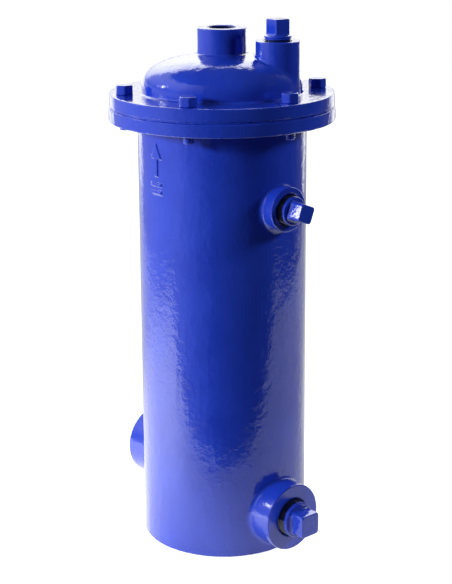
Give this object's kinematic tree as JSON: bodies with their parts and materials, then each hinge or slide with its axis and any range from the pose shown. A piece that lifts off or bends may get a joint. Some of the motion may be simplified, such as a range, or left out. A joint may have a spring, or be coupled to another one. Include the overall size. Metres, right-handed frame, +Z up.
{
  "type": "inverted bucket steam trap",
  "caption": "Upright cylindrical steam trap with a bolted domed cover, top outlet, low side inlet, plugged ports and a working bucket, lever and valve inside.",
  "frame": {"origin": "centre of the flat underside of the body", "axes": "+Z up along the body's axis to the outlet, +X towards the drain and side plugs, -X towards the inlet"},
  "size_m": [0.2238, 0.206, 0.4885],
  "materials": {
    "casting_paint": "glossy blue enamel over a sand-cast surface",
    "screw_paint": "glossy blue enamel over steel",
    "plug_paint": "glossy blue enamel over steel",
    "gasket": "matt compressed sheet",
    "hard_steel": "ground and lapped",
    "stainless": "drawn stainless sheet and bar",
    "pipe_steel": "dull mill surface"
  },
  "bodies": {
    "trap": {"body_casting": "casting_paint", "cover_casting": "casting_paint", "cover_gasket": "gasket", "cover_screw_1": "screw_paint", "cover_screw_2": "screw_paint", "cover_screw_3": "screw_paint", "cover_screw_4": "screw_paint", "cover_screw_5": "screw_paint", "cover_screw_6": "screw_paint", "valve_seat": "hard_steel", "lever_bracket": "stainless", "bracket_screw_1": "stainless", "bracket_screw_2": "stainless", "pivot_pin": "hard_steel", "pivot_clip_1": "stainless", "pivot_clip_2": "stainless", "inlet_nipple": "pipe_steel", "inlet_elbow": "pipe_steel", "riser_tube": "pipe_steel"},
    "lever": {"lever": "stainless", "hook_pin": "hard_steel", "valve_head": "hard_steel", "valve_nut": "stainless"},
    "bucket": {"bucket": "stainless", "bucket_hanger": "stainless", "hanger_rivet_1": "stainless", "hanger_rivet_2": "stainless"},
    "cover_plug": {"cover_plug": "plug_paint"},
    "side_plug": {"side_plug": "plug_paint"},
    "drain_plug": {"drain_plug": "plug_paint"}
  },
  "joints": [
    {"name": "lever_pivot", "type": "hinge", "parent": "trap", "child": "lever", "pos_m": [-0.05, 0, 0.405], "axis": [0, -1, 0], "range_deg": [0, 12]},
    {"name": "bucket_hang", "type": "hinge", "parent": "lever", "child": "bucket", "pos_m": [-0.00109, 0, 0.3946], "axis": [0, -1, 0], "range_deg": [-12, 0]},
    {"name": "cover_plug_unscrew", "type": "slide", "parent": "trap", "child": "cover_plug", "axis": [0, 0, 1], "range_m": [0, 0.03]},
    {"name": "side_plug_unscrew", "type": "slide", "parent": "trap", "child": "side_plug", "axis": [1, 0, 0], "range_m": [0, 0.03]},
    {"name": "drain_plug_unscrew", "type": "slide", "parent": "trap", "child": "drain_plug", "axis": [1, 0, 0], "range_m": [0, 0.03]}
  ],
  "couplings": [
    {"joint": "bucket_hang", "follows": "lever_pivot", "ratio": -1}
  ]
}
